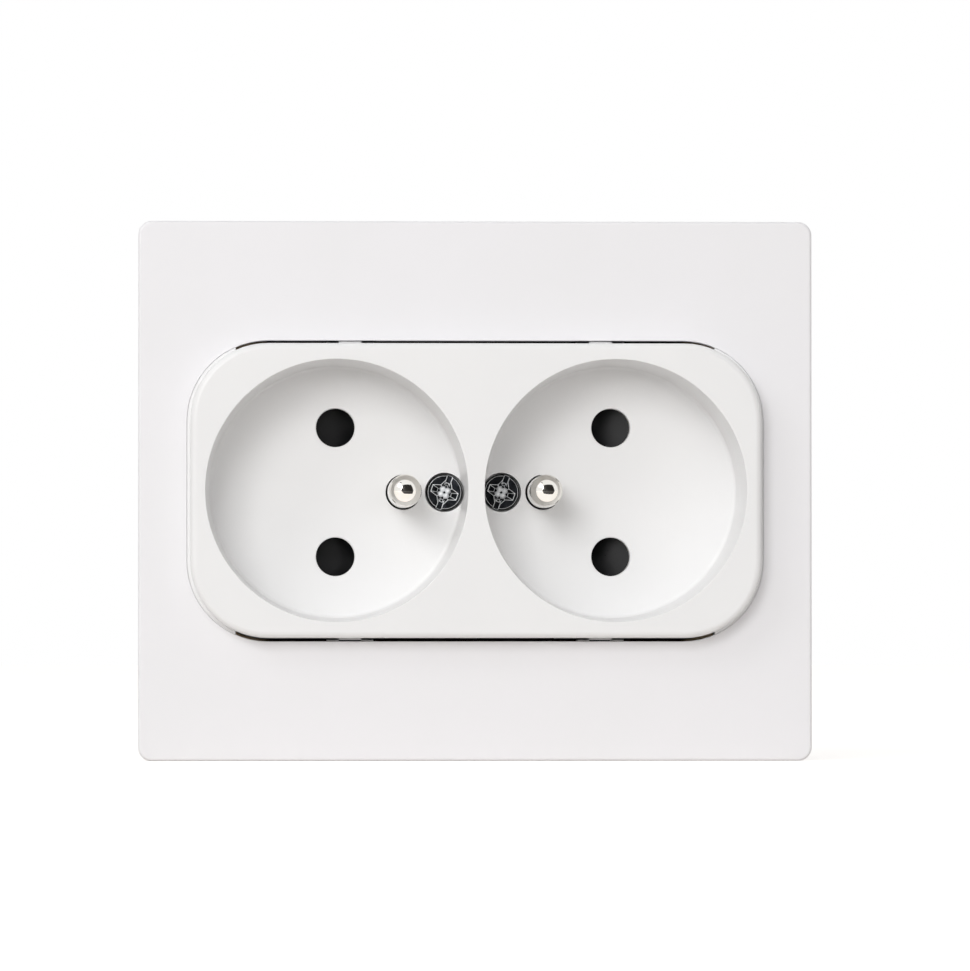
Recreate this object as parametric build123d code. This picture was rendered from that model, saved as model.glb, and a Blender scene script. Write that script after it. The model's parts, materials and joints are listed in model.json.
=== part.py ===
from build123d import *
import os

# Surface-mounted double socket with round wells and earth pins. Sizes in millimetres.
# Every piece is drawn lying on its back: x to the right, y up the wall, z out of the wall.
# It is turned upright when it is written, so the front faces -Y, +Z is up and the wall is y = 0.

# Surface box and front plate
plate_width = 98.4
plate_height = 78.8
corner_radius = 2.0
least_corner = 0.5
box_depth = 39.0
box_wall = 2.2
box_back = 2.0
plate_rise = 3.5
plate_thickness = 2.2
plate_edge_chamfer = 0.4
lip_thickness = 1.2
lip_depth = 4.6
lip_clearance = 0.2
catch_width = 8.0
catch_height = 1.2
catch_reach = 0.5
catch_clearance = 0.3
catch_inset = 11.0
opening_chamfer = 0.2

# Socket cover that stands through the plate
plate_border = 7.6
cover_end_wall = 2.2
cover_side_wall = 2.35
cover_corner = 11.3
cover_proud = 4.5
cover_wall = 2.0
cover_face = 2.2
cover_edge_round = 1.2
cover_gap = 0.5
skirt_overlap = 0.5
middle_rib = 1.2
collar_end = 7.1
collar_clearance = 0.15
collar_recess = 0.5
flange_reach = 1.2
flange_thickness = 1.4
lug_inset = 2.0
lug_width = 6.8
lug_recess = 0.9

# Wells
well_web = 2.4
well_draft = 0.5
well_rim_chamfer = 0.1
well_depth = 15.0
well_wall = 1.6
floor_thickness = 2.5
shutter_space = 4.0

# Contact holes and earth pins
contact_spacing = 19.0
contact_hole_radius = 2.85
pin_to_pocket = 0.6
earth_pin_radius = 2.4
earth_pin_height = 14.0
earth_root_radius = 2.6
earth_root_clearance = 0.05
earth_collar_radius = 3.1
earth_collar_height = 2.0
rivet_radius = 1.3
rivet_head_radius = 2.0
rivet_head_height = 0.6

# Cover screws between the wells
cover_screw_offset = 4.2
cover_head_radius = 2.65
cover_head_height = 2.6
cover_head_sink = 0.4
cover_head_chamfer = 0.3
cover_pocket_radius = 2.9
cover_pocket_wall = 1.6
cover_screw_length = 13.0
star_reach = 1.95
star_tip = 1.0
star_waist = 0.8
star_depth = 1.5
star_bottom_share = 0.5

# Mounting strap and the bosses that carry it
strap_thickness = 1.0
strap_sink = 1.5
strap_end_margin = 4.0
strap_side_margin = 4.9
strap_corner = 3.0
strap_window_clearance = 0.15
strap_band = 3.4
strap_notch_margin = 1.45
strap_flange_depth = 4.0
strap_flange_gap = 2.0
strap_flange_inset = 6.0
boss_end_inset = 8.2
boss_side_inset = 8.4
boss_radius = 3.5
boss_rib = 1.4
boss_hole_depth = 14.0

# Wall fixings, cable entry and knock-outs
wall_slot_end_inset = 19.2
wall_slot_side_inset = 10.4
wall_slot_radius = 2.25
wall_slot_length = 9.0
cable_entry_margin = 2.7
cable_entry_radius = 9.0
knockout_width = 20.0
knockout_height = 16.0
knockout_skin = 0.8
knockout_level = 17.0

# Contact carrier and its back
carrier_end_gap = 2.6
carrier_side_gap = 2.65
carrier_corner = 6.0
carrier_depth = 16.5
carrier_back_thickness = 1.8
ear_reach = 3.1
ear_width = 20.0
ear_clearance = 0.3
pocket_width = 8.4

# Brass bars and their jaws
bar_thickness = 0.8
bar_width = 6.0
bar_clearance = 0.15
tail_width = 5.0
jaw_width = 5.0
jaw_root = 3.0
jaw_pinch = 2.1
jaw_flare = 3.3
jaw_top_gap = 1.5
jaw_pinch_drop = 3.0
jaw_bend = 0.8
earth_bar_lift = 3.2
earth_bar_end = 0.6

# Terminals
terminal_width = 8.0
terminal_length = 7.0
terminal_height = 9.0
terminal_standoff = 9.2
terminal_spread = 14.0
terminal_wall = 1.4
terminal_clearance = 0.15
terminal_chamfer = 0.4
wire_hole_radius = 1.7
wire_hole_level = 2.8

# Screws in general
screw_clearance = 0.05
strap_screw_radius = 1.5
strap_head_radius = 2.9
strap_head_height = 1.8
strap_screw_length = 12.0
terminal_screw_radius = 1.5
terminal_head_radius = 2.3
terminal_head_height = 1.6
terminal_screw_gap = 0.5
back_screw_radius = 1.1
back_head_radius = 2.1
back_head_height = 1.3
back_screw_length = 9.0
back_screw_tip_gap = 1.0
back_screw_inset = 7.5
slot_width = 0.8
slot_depth = 0.9
cross_length_share = 1.3
cover_slot_turn = 70
passing_clearance = 0.3
over = 1.0

# Shutters and their springs
shutter_clearance = 0.25
shutter_hole_margin = 0.1
shutter_ramp_base = 0.7
shutter_back_width = 3.6
shutter_guide_gap = 0.25
shutter_block_height = 7.4
guide_rail = 1.2
spring_radius = 1.35
spring_wire = 0.4
spring_wire_sides = 4
spring_turns = 4
spring_seat_gap = 0.3
spring_peg_radius = 0.8
spring_peg_length = 1.0
spring_packed = 3.2

# Levels worked out from the sizes above, wall upwards
touch = 0.0001
plate_front = box_depth + plate_rise
plate_under = plate_front - plate_thickness
cover_front = plate_front + cover_proud
well_floor = cover_front - well_depth
floor_under = well_floor - floor_thickness
carrier_top = floor_under - shutter_space
carrier_low = carrier_top - carrier_depth
carrier_back_low = carrier_low - carrier_back_thickness
strap_top = box_depth - strap_sink
strap_low = strap_top - strap_thickness
skirt_low = carrier_top + skirt_overlap
collar_top = plate_front - collar_recess
shutter_low = carrier_top + shutter_clearance
shutter_high = floor_under - shutter_clearance
cover_head_top = well_floor - cover_head_sink
cover_head_low = cover_head_top - cover_head_height
earth_bar_low = carrier_low + earth_bar_lift
earth_bar_top = earth_bar_low + bar_thickness
bar_top = carrier_low + bar_thickness
terminal_top = bar_top + terminal_height
wire_level = earth_bar_top + wire_hole_level
shutter_middle = (shutter_low + shutter_high) / 2

# Outlines worked out from the sizes above, the plate's size first
cover_width = plate_width - 2 * plate_border
well_rim_radius = (cover_width / 2 - cover_end_wall - well_web / 2) / 2
well_floor_radius = well_rim_radius - well_draft
well_offset = well_rim_radius + well_web / 2
cover_height = 2 * (well_rim_radius + cover_side_wall)
box_inner_width = plate_width - 2 * box_wall
box_inner_height = plate_height - 2 * box_wall
inner_corner = max(corner_radius - box_wall, least_corner)
opening_width = cover_width + 2 * cover_gap
opening_height = cover_height + 2 * cover_gap
opening_corner = cover_corner + cover_gap
collar_reach = opening_width / 2 - collar_end
lug_offset = well_offset - lug_inset

# Places that follow the plate, the box and the strap
boss_x = plate_width / 2 - boss_end_inset
boss_y = plate_height / 2 - boss_side_inset
catch_offset = boss_x - catch_inset
wall_spacing_x = plate_width - 2 * wall_slot_end_inset
wall_spacing_y = plate_height - 2 * wall_slot_side_inset
cable_entry_offset = box_inner_height / 2 - cable_entry_radius - cable_entry_margin
strap_width = plate_width - 2 * strap_end_margin
strap_height = plate_height - 2 * strap_side_margin
strap_window_width = cover_width + 2 * strap_window_clearance
strap_window_height = cover_height + 2 * strap_window_clearance
strap_window_corner = cover_corner + strap_window_clearance
housing_width = terminal_width + 2 * (terminal_wall + terminal_clearance)
strap_notch_width = terminal_spread + housing_width + 2 * strap_notch_margin
strap_notch_depth = strap_height / 2 - strap_window_height / 2 - strap_band
strap_flange_start = strap_notch_width / 2 + strap_flange_gap
strap_flange_end = boss_x - strap_flange_inset

# Places that follow the wells and the carrier
contact_y = contact_spacing / 2
earth_x = cover_screw_offset + cover_pocket_radius + pin_to_pocket + earth_root_radius
earth_bar_reach = earth_x + earth_collar_radius + earth_bar_end
carrier_width = cover_width - 2 * carrier_end_gap
carrier_height = cover_height - 2 * carrier_side_gap
back_screw_x = carrier_width / 2 - back_screw_inset
terminal_y = carrier_height / 2 + terminal_standoff
shutter_travel = 2 * contact_hole_radius + shutter_hole_margin
ramp_length = shutter_travel
ramp_start = well_offset - ramp_length / 2
shutter_end = ramp_start + ramp_length + shutter_back_width
guide_y = contact_y + shutter_block_height / 2 + shutter_guide_gap
spring_stop = shutter_end + shutter_travel + spring_packed
both_sides = (-1, 1)


def slab(width, height, radius, low, high):
    return Pos(0, 0, low) * extrude(RectangleRounded(width, height, radius), high - low)


def bar(x0, x1, y0, y1, z0, z1):
    return Pos((x0 + x1) / 2, (y0 + y1) / 2, (z0 + z1) / 2) * Box(x1 - x0, y1 - y0, z1 - z0)


def rod(x, y, radius, low, high):
    return Pos(x, y, (low + high) / 2) * Cylinder(radius, high - low)


def four_corners(x, y):
    return [(side * x, end * y) for side in both_sides for end in both_sides]


def edges_at(solid, level):
    found = []
    for edge in solid.edges():
        extent = edge.bounding_box()
        if abs(extent.min.Z - level) < touch and abs(extent.max.Z - level) < touch:
            found.append(edge)
    return found


# Surface box: an open tray with bosses, slotted fixings, a cable entry and thin knock-outs
def surface_box():
    tray = slab(plate_width, plate_height, corner_radius, 0, box_depth)
    tray -= slab(box_inner_width, box_inner_height, inner_corner, box_back, box_depth + over)
    rib_top = strap_low - lip_depth
    for x, y in four_corners(boss_x, boss_y):
        side = 1 if x > 0 else -1
        tray += rod(x, y, boss_radius, box_back, strap_low)
        inner, outer = sorted((x, side * (box_inner_width / 2 + box_wall / 2)))
        tray += bar(inner, outer, y - boss_rib / 2, y + boss_rib / 2, box_back, rib_top)
    for x, y in four_corners(boss_x, boss_y):
        tray -= rod(x, y, strap_screw_radius + screw_clearance, strap_low - boss_hole_depth, strap_low)
    for x, y in four_corners(wall_spacing_x / 2, wall_spacing_y / 2):
        slot = SlotOverall(wall_slot_length, 2 * wall_slot_radius)
        tray -= Pos(x, y, -over) * extrude(slot, box_back + 2 * over)
    tray -= rod(0, cable_entry_offset, cable_entry_radius, -over, box_back + over)
    low = knockout_level - knockout_height / 2
    high = knockout_level + knockout_height / 2
    for end in both_sides:
        near, far = sorted((end * (box_inner_height / 2 - over), end * (plate_height / 2 - knockout_skin)))
        tray -= bar(-knockout_width / 2, knockout_width / 2, near, far, low, high)
        for x in (-catch_offset, catch_offset):
            tray -= catch(x, end, catch_clearance)
    return tray


# One snap catch of the plate's lip, or with a clearance the recess that it springs into
def catch(x, end, clearance=0.0):
    lip_face = box_inner_height / 2 - lip_clearance
    level = box_depth - lip_depth + catch_height
    near, far = sorted((end * (lip_face - lip_thickness / 2), end * (lip_face + catch_reach + clearance)))
    half_width = catch_width / 2 + clearance
    half_height = catch_height / 2 + clearance
    return bar(x - half_width, x + half_width, near, far, level - half_height, level + half_height)


# Front plate: a shallow tray turned over the box, with the opening for the cover
def front_plate():
    plate = slab(plate_width, plate_height, corner_radius, box_depth, plate_front)
    plate = chamfer(edges_at(plate, plate_front), plate_edge_chamfer)
    plate -= slab(box_inner_width, box_inner_height, inner_corner, box_depth - over, plate_under)
    lip_width = box_inner_width - 2 * lip_clearance
    lip_height = box_inner_height - 2 * lip_clearance
    lip_low = box_depth - lip_depth
    lip = slab(lip_width, lip_height, inner_corner, lip_low, plate_under)
    lip_space_width = lip_width - 2 * lip_thickness
    lip_space_height = lip_height - 2 * lip_thickness
    lip -= slab(lip_space_width, lip_space_height, inner_corner, lip_low - over, plate_front)
    plate += lip
    for end in both_sides:
        for x in (-catch_offset, catch_offset):
            plate += catch(x, end)
    plate -= slab(opening_width, opening_height, opening_corner, box_depth - over, plate_front + over)
    rim = []
    for edge in edges_at(plate, plate_front):
        middle = edge.center()
        if abs(middle.X) < opening_width / 2 + touch and abs(middle.Y) < opening_height / 2 + touch:
            rim.append(edge)
    return chamfer(rim, opening_chamfer)


# Mounting strap: pressed steel with a window for the cover and turned-down edges
def mounting_strap():
    sheet = slab(strap_width, strap_height, strap_corner, strap_low, strap_top)
    edge = strap_height / 2
    for end in both_sides:
        for side in both_sides:
            left, right = sorted((side * strap_flange_start, side * strap_flange_end))
            near, far = sorted((end * (edge - strap_thickness), end * edge))
            sheet += bar(left, right, near, far, strap_low - strap_flange_depth, strap_top)
        near, far = sorted((end * (edge - strap_notch_depth), end * (edge + over)))
        half = strap_notch_width / 2
        sheet -= bar(-half, half, near, far, strap_low - over, strap_top + over)
    sheet -= slab(strap_window_width, strap_window_height, strap_window_corner, strap_low - over,
                  strap_top + over)
    for x, y in four_corners(boss_x, boss_y):
        sheet -= rod(x, y, strap_screw_radius + passing_clearance, strap_low - over, strap_top + over)
    return sheet


# A slot sunk in a screw head, turned from the x axis
def slot_cut(x, y, top, turn, length):
    return Pos(x, y, top - slot_depth / 2) * Rot(0, 0, turn) * Box(length, slot_width, slot_depth)


# A cheese-head screw with a cross recess, its head seated at a given level
def cross_screw(x, y, seat, head_radius, head_height, radius, length):
    top = seat + head_height
    head = rod(x, y, head_radius, seat, top)
    for turn in (0, 90):
        head -= slot_cut(x, y, top, turn, head_radius * cross_length_share)
    return head + rod(x, y, radius, seat - length, seat)


# Socket cover: two drafted wells in one shell, standing through the plate
def socket_cover():
    outline = slab(cover_width, cover_height, cover_corner, skirt_low, cover_front)
    shell = fillet(edges_at(outline, cover_front), cover_edge_round)
    shell -= slab(cover_width - 2 * cover_wall, cover_height - 2 * cover_wall, cover_corner - cover_wall,
                  skirt_low - over, cover_front - cover_face)
    cup_height = cover_front - cover_face - floor_under
    for side in both_sides:
        cup = Cone(well_floor_radius + well_wall, well_rim_radius + well_wall, cup_height)
        shell += (Pos(side * well_offset, 0, floor_under + cup_height / 2) * cup) & outline
    pocket_outside = cover_pocket_radius + cover_pocket_wall
    for side in both_sides:
        x = side * cover_screw_offset
        shell += rod(x, 0, pocket_outside, carrier_top + passing_clearance, well_floor)
    rib_end = cover_height / 2 - cover_wall / 2
    rib_top = cover_front - cover_face / 2
    shell += bar(-middle_rib / 2, middle_rib / 2, -rib_end, rib_end, well_floor, rib_top)
    shell = shell + collars() + side_lugs() + shutter_rails()
    for side in both_sides:
        shell -= cover_cuts(side)
    rims = []
    for edge in edges_at(shell, cover_front):
        if edge.geom_type == GeomType.CIRCLE and abs(edge.radius - well_rim_radius) < touch:
            rims.append(edge)
    return chamfer(rims, well_rim_chamfer)


# What one well takes out of the cover: its bowl, contact holes, pin hole and screw pocket
def cover_cuts(side):
    well_x = side * well_offset
    screw_x = side * cover_screw_offset
    pin_hole = earth_root_radius + earth_root_clearance
    shank_hole = strap_screw_radius + passing_clearance
    bowl = Cone(well_floor_radius, well_rim_radius, well_depth)
    cuts = [Pos(well_x, 0, well_floor + well_depth / 2) * bowl]
    for end in both_sides:
        cuts.append(rod(well_x, end * contact_y, contact_hole_radius, floor_under - over, well_floor + over))
    cuts.append(rod(side * earth_x, 0, pin_hole, carrier_top - over, well_floor + over))
    cuts.append(rod(screw_x, 0, cover_pocket_radius, cover_head_low, cover_front + over))
    cuts.append(rod(screw_x, 0, shank_hole, carrier_top - over, cover_head_low + over))
    return cuts


# Collars that close the gap round both ends and stand on the strap with a flange
def collars():
    ring = slab(opening_width - 2 * collar_clearance, opening_height - 2 * collar_clearance,
                opening_corner - collar_clearance, strap_top, collar_top)
    ring += slab(opening_width + 2 * flange_reach, opening_height + 2 * flange_reach,
                 opening_corner + flange_reach, strap_top, strap_top + flange_thickness)
    ring -= slab(cover_width - cover_wall, cover_height - cover_wall, cover_corner - cover_wall / 2,
                 strap_top - over, collar_top + over)
    ring -= bar(-collar_reach, collar_reach, -plate_height, plate_height, strap_top - over, collar_top + over)
    return ring


# Four lugs on the long sides that centre the plate
def side_lugs():
    lugs = []
    for x, y in four_corners(lug_offset, cover_height / 2):
        end = 1 if y > 0 else -1
        near, far = sorted((y - end * cover_wall / 2, y + end * (cover_gap - collar_clearance)))
        lugs.append(bar(x - lug_width / 2, x + lug_width / 2, near, far, strap_top, plate_front - lug_recess))
    return lugs


# Rails under each well floor that guide the shutter, with its stops
def shutter_rails():
    rails = []
    stop_x = ramp_start - passing_clearance
    rail_end = spring_stop + guide_rail
    for side in both_sides:
        for end in both_sides:
            left, right = sorted((side * (ramp_start - guide_rail), side * rail_end))
            near, far = sorted((end * guide_y, end * (guide_y + guide_rail)))
            rails.append(bar(left, right, near, far, shutter_low, floor_under))
            left, right = sorted((side * (stop_x - guide_rail), side * stop_x))
            near, far = sorted((end * contact_y, end * (guide_y + guide_rail)))
            rails.append(bar(left, right, near, far, shutter_low, floor_under))
        left, right = sorted((side * spring_stop, side * rail_end))
        seat = 2 * spring_radius
        rails.append(bar(left, right, -seat, seat, shutter_low, floor_under))
    return rails


# Contact carrier: one moulding with jaw pockets, bar channels, terminal housings and ears
def contact_carrier():
    body = slab(carrier_width, carrier_height, carrier_corner, carrier_low, carrier_top)
    ear_inside = cover_width / 2 + ear_clearance
    ear_outside = ear_inside + ear_reach
    ear_root = carrier_width / 2 - ear_reach
    for side in both_sides:
        left, right = sorted((side * ear_root, side * ear_outside))
        body += bar(left, right, -ear_width / 2, ear_width / 2, carrier_low, skirt_low - passing_clearance)
        left, right = sorted((side * ear_inside, side * ear_outside))
        body += bar(left, right, -ear_width / 2, ear_width / 2, carrier_low, strap_low)
    near = carrier_height / 2 - carrier_corner
    far = terminal_y + terminal_length / 2
    housing_top = carrier_low + terminal_height
    for x, end in terminal_places():
        low_y, high_y = sorted((end * near, end * far))
        body += bar(x - housing_width / 2, x + housing_width / 2, low_y, high_y, carrier_low, housing_top)
    cell = terminal_width / 2 + terminal_clearance
    cell_start = terminal_y - terminal_length / 2 - terminal_clearance
    for x, end in terminal_places():
        low_y, high_y = sorted((end * cell_start, end * (far + over)))
        body -= bar(x - cell, x + cell, low_y, high_y, carrier_low - over, housing_top + over)
    return body - carrier_hollows()


# Everything cut out of the carrier from behind and from the front
def carrier_hollows():
    below = carrier_low - over
    above = carrier_top + over
    channel = bar_width / 2 + bar_clearance
    channel_top = bar_top + bar_clearance
    reach = well_offset + jaw_width / 2 + bar_clearance
    half = pocket_width / 2
    cuts = []
    for end in both_sides:
        y = end * contact_y
        cuts.append(bar(-reach, reach, y - channel, y + channel, below, channel_top))
        for side in both_sides:
            x = side * well_offset
            cuts.append(bar(x - half, x + half, y - half, y + half, below, above))
    tail = tail_width / 2 + bar_clearance
    for x, end, from_y, top in terminal_tails():
        low_y, high_y = sorted((end * from_y, end * (terminal_y + terminal_length)))
        cuts.append(bar(x - tail, x + tail, low_y, high_y, below, top + bar_clearance))
    earth_reach = earth_bar_reach + bar_clearance
    cuts.append(bar(-earth_reach, earth_reach, -channel, channel, below, earth_bar_top + bar_clearance))
    collar_hole = earth_collar_radius + screw_clearance
    collar_room = earth_bar_top + earth_collar_height + bar_clearance
    shank_hole = strap_screw_radius + screw_clearance
    screw_end = cover_head_low - cover_screw_length
    for side in both_sides:
        cuts.append(rod(side * earth_x, 0, collar_hole, earth_bar_low, collar_room))
        cuts.append(rod(side * earth_x, 0, earth_root_radius + screw_clearance, earth_bar_low, above))
        cuts.append(rod(side * cover_screw_offset, 0, shank_hole, screw_end - over, above))
        hole = back_screw_radius + screw_clearance
        cuts.append(rod(side * back_screw_x, 0, hole, below, carrier_low + back_screw_length))
    return cuts


# Where the terminals stand: line above, neutral and earth below
def terminal_places():
    return [(0, 1), (terminal_spread / 2, -1), (-terminal_spread / 2, -1)]


# Each tail that runs out to a terminal: x, direction, where it starts and its top level
def terminal_tails():
    line, neutral, earth = terminal_places()
    return [(*line, contact_y, bar_top), (*neutral, contact_y, bar_top), (*earth, 0, earth_bar_top)]


# Back of the carrier: holds the bars in, with a raised pad under the earth bar
def carrier_back():
    plate = slab(carrier_width, carrier_height, carrier_corner, carrier_back_low, carrier_low)
    half = housing_width / 2
    near = carrier_height / 2 - carrier_corner
    far = terminal_y + terminal_length / 2
    for x, end in terminal_places():
        low_y, high_y = sorted((end * near, end * far))
        plate += bar(x - half, x + half, low_y, high_y, carrier_back_low, carrier_low)
    pad = bar_width / 2 - bar_clearance
    plate += bar(-earth_bar_reach, earth_bar_reach, -pad, pad, carrier_low, earth_bar_low)
    x, end = terminal_places()[2]
    low_y, high_y = sorted((end * (far - terminal_length), end * far))
    plate += bar(x - terminal_width / 2, x + terminal_width / 2, low_y, high_y, carrier_low, earth_bar_low)
    recess = rivet_head_radius + passing_clearance
    recess_low = earth_bar_low - rivet_head_height - passing_clearance
    screw_hole = back_screw_radius + passing_clearance
    for side in both_sides:
        plate -= rod(side * earth_x, 0, recess, recess_low, carrier_top)
        plate -= rod(side * back_screw_x, 0, screw_hole, carrier_back_low - over, carrier_low + over)
    return plate


# One pair of sprung jaws, bowed in to grip a pin and flared at the mouth
def jaws(x, y):
    middle = bar_thickness / 2
    mouth = (jaw_flare + middle, carrier_top - jaw_top_gap)
    pinch = (jaw_pinch + middle, mouth[1] - jaw_pinch_drop)
    root = (jaw_root + middle, carrier_low + middle)
    leaf_side = [root, pinch, mouth]
    other_side = [(-across, level) for across, level in reversed(leaf_side)]
    path = FilletPolyline(*other_side, *leaf_side, radius=jaw_bend)
    section = trace(path, bar_thickness)
    leaf = extrude(Plane.YZ * section, jaw_width / 2, both=True)
    return Pos(x, y, 0) * leaf


# Line or neutral bar: one strip with two pairs of jaws and a tail
def contact_bar(end, tail_x):
    reach = well_offset + jaw_width / 2
    y = end * contact_y
    strip = bar(-reach, reach, y - bar_width / 2, y + bar_width / 2, carrier_low, bar_top)
    low_y, high_y = sorted((y, end * (terminal_y + terminal_length / 2)))
    strip += bar(tail_x - tail_width / 2, tail_x + tail_width / 2, low_y, high_y, carrier_low, bar_top)
    for side in both_sides:
        strip += jaws(side * well_offset, y)
    return strip


# Earth bar: it lies above the other two, carries both riveted pins and runs out to its terminal
def earth_bar():
    x, end = terminal_places()[2]
    across = bar_width / 2
    half = tail_width / 2
    strip = bar(-earth_bar_reach, earth_bar_reach, -across, across, earth_bar_low, earth_bar_top)
    low_y, high_y = sorted((0, end * (terminal_y + terminal_length / 2)))
    strip += bar(x - half, x + half, low_y, high_y, earth_bar_low, earth_bar_top)
    rivet_hole = rivet_radius + screw_clearance
    for side in both_sides:
        strip -= rod(side * earth_x, 0, rivet_hole, earth_bar_low - over, earth_bar_top + over)
    return strip


# Earth pin: a domed rod, a hair thicker below the well floor, with a collar and a riveted tail
def earth_pin(side):
    dome_level = well_floor + earth_pin_height - earth_pin_radius
    pin = rod(0, 0, earth_pin_radius, well_floor, dome_level)
    pin += Pos(0, 0, dome_level) * Sphere(earth_pin_radius)
    pin += rod(0, 0, earth_root_radius, earth_bar_top, well_floor)
    pin += rod(0, 0, earth_collar_radius, earth_bar_top, earth_bar_top + earth_collar_height)
    pin += rod(0, 0, rivet_radius, earth_bar_low - rivet_head_height, earth_bar_top)
    pin += rod(0, 0, rivet_head_radius, earth_bar_low - rivet_head_height, earth_bar_low)
    return Pos(side * earth_x, 0, 0) * pin


# Terminal block with a wire hole across it and a screw hole from the front
def terminal(x, end, tail_top):
    y = end * terminal_y
    half = terminal_width / 2
    block = bar(x - half, x + half, y - terminal_length / 2, y + terminal_length / 2, tail_top, terminal_top)
    wire_hole = Cylinder(wire_hole_radius, terminal_length + 2 * over)
    block -= Pos(x, y, wire_level) * Rot(90, 0, 0) * wire_hole
    block -= rod(x, y, terminal_screw_radius + screw_clearance, wire_level, terminal_top + over)
    top_edges = [edge for edge in edges_at(block, terminal_top) if edge.geom_type == GeomType.LINE]
    return chamfer(top_edges, terminal_chamfer)


# Terminal screw, a little open as delivered
def terminal_screw(x, end):
    seat = terminal_top + terminal_screw_gap
    return cross_screw(x, end * terminal_y, seat, terminal_head_radius, terminal_head_height,
                       terminal_screw_radius, seat - wire_level)


# Shutter: two ramped blocks under one well's holes, joined by a yoke that the spring pushes
def shutter(side):
    yoke_start = ramp_start + ramp_length
    ramp = Polyline((ramp_start, shutter_low), (shutter_end, shutter_low), (shutter_end, shutter_high),
                    (yoke_start, shutter_high), (ramp_start, shutter_low + shutter_ramp_base), close=True)
    profile = Plane.XZ * make_face(ramp)
    half = shutter_block_height / 2
    slider = bar(yoke_start, shutter_end, -contact_y, contact_y, shutter_low, shutter_high)
    for end in both_sides:
        slider += Pos(0, end * contact_y, 0) * extrude(profile, half, both=True)
    peg = Cylinder(spring_peg_radius, spring_peg_length)
    slider += Pos(shutter_end + spring_peg_length / 2, 0, shutter_middle) * Rot(0, 90, 0) * peg
    return slider if side > 0 else mirror(slider, Plane.YZ)


# Shutter spring: a coil between the yoke and the stop on the cover
def shutter_spring(side):
    start = shutter_end + spring_seat_gap / 2 + spring_wire / 2
    length = spring_stop - spring_seat_gap / 2 - spring_wire / 2 - start
    path = Helix(length / spring_turns, length, spring_radius)
    section = Plane(path @ 0, z_dir=path % 0) * RegularPolygon(spring_wire / 2, spring_wire_sides)
    coil = Pos(start, 0, shutter_middle) * Rot(0, 90, 0) * sweep(section, path)
    return coil if side > 0 else mirror(coil, Plane.YZ)


# A four-armed recess that narrows towards its bottom, turned with the slot
def star_recess(top):
    ends = []
    for level, share in ((top - star_depth, star_bottom_share), (top, 1)):
        corners = []
        for quarter in range(4):
            for x, y in ((star_reach, -star_tip / 2), (star_reach, star_tip / 2), (star_waist, star_waist)):
                corner = Vector(x * share, y * share, level)
                corners.append(corner.rotate(Axis.Z, cover_slot_turn + 90 * quarter))
        ends.append(make_face(Polyline(*corners, close=True)))
    return loft(ends)


# Cover screw: cheese head with a slot and a four-armed recess, leaning as the screw was left
def cover_screw(side):
    screw = rod(0, 0, cover_head_radius, cover_head_low, cover_head_top)
    screw = chamfer(edges_at(screw, cover_head_top), cover_head_chamfer)
    screw -= slot_cut(0, 0, cover_head_top, cover_slot_turn, 2 * (cover_head_radius + over))
    screw -= star_recess(cover_head_top)
    screw += rod(0, 0, strap_screw_radius, cover_head_low - cover_screw_length, cover_head_low)
    return Pos(side * cover_screw_offset, 0, 0) * screw


# Small screw through the back of the carrier, its head towards the wall
def back_screw(side):
    length = back_screw_length - back_screw_tip_gap + carrier_back_thickness
    screw = cross_screw(0, 0, 0, back_head_radius, back_head_height, back_screw_radius, length)
    return Pos(side * back_screw_x, 0, carrier_back_low) * Rot(180, 0, 0) * screw


def pieces():
    made = {
        "surface_box": surface_box(),
        "front_plate": front_plate(),
        "mounting_strap": mounting_strap(),
        "socket_cover": socket_cover(),
        "contact_carrier": contact_carrier(),
        "carrier_back": carrier_back(),
        "line_bar": contact_bar(1, terminal_places()[0][0]),
        "neutral_bar": contact_bar(-1, terminal_places()[1][0]),
        "earth_bar": earth_bar(),
    }
    corners = ("lower_left", "upper_left", "lower_right", "upper_right")
    for corner, (x, y) in zip(corners, four_corners(boss_x, boss_y)):
        made[corner + "_strap_screw"] = cross_screw(x, y, strap_top, strap_head_radius, strap_head_height,
                                                    strap_screw_radius, strap_screw_length)
    for name, (x, end, _, tail_top) in zip(("line", "neutral", "earth"), terminal_tails()):
        made[name + "_terminal"] = terminal(x, end, tail_top)
        made[name + "_terminal_screw"] = terminal_screw(x, end)
    for name, side in (("left", -1), ("right", 1)):
        made[name + "_earth_pin"] = earth_pin(side)
        made[name + "_shutter"] = shutter(side)
        made[name + "_shutter_spring"] = shutter_spring(side)
        made[name + "_cover_screw"] = cover_screw(side)
        made[name + "_back_screw"] = back_screw(side)
    return made


os.makedirs("parts", exist_ok=True)
for node, piece in pieces().items():
    upright = Rot(90, 0, 0) * piece
    solids = upright.solids()
    whole = solids[0] if len(solids) == 1 else Compound(children=solids)
    export_step(whole, "parts/" + node + ".step")
    print(node, len(solids), round(whole.volume, 1))
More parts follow.
